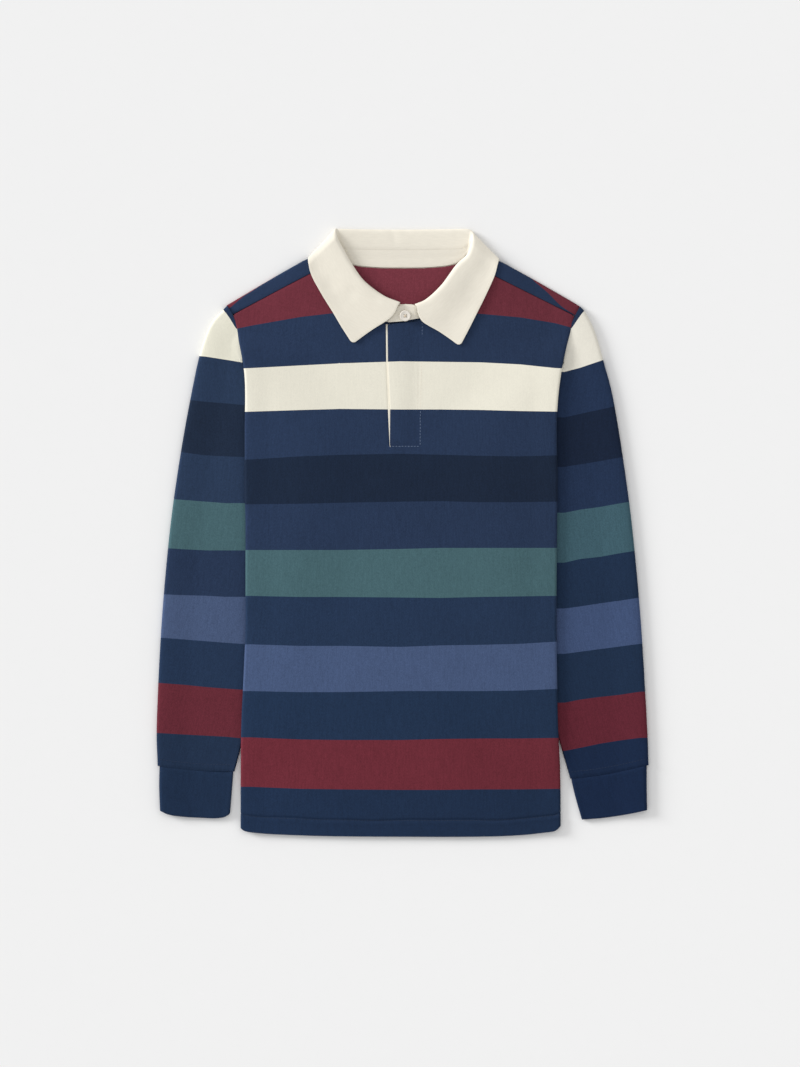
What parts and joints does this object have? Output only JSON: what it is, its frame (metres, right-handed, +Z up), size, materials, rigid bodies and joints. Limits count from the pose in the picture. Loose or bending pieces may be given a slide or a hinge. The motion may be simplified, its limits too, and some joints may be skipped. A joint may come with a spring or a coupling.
{
  "type": "polo shirt",
  "caption": "Child's long-sleeved polo shirt in broad stripes, laid flat, with a cream collar turned down over a fly placket, buttoned at the neck.",
  "frame": {"origin": "on the surface the shirt lies on, under the middle of its laid-out outline", "axes": "+Z up from the surface, towards the viewer and the shirt's front; +Y from the hem to the collar; +X to the right of someone looking down at the front"},
  "size_m": [0.467, 0.5779, 0.0112],
  "materials": {
    "striped_jersey": "matt cotton jersey in broad stripes of navy, cream, dark navy, teal grey, slate blue and burgundy",
    "navy_cuff": "matt navy cotton jersey, doubled",
    "cream_twill": "matt cream cotton twill",
    "pearl_plastic": "pearly plastic button"
  },
  "bodies": {
    "root": {"back_panel": "striped_jersey", "front_panel": "striped_jersey", "sleeve_left": "striped_jersey", "sleeve_right": "striped_jersey", "cuff_left": "navy_cuff", "cuff_right": "navy_cuff", "collar_stand": "cream_twill", "collar_fall": "cream_twill", "placket_flap": "striped_jersey", "placket_underlap": "cream_twill", "button": "pearl_plastic"}
  },
  "joints": []
}
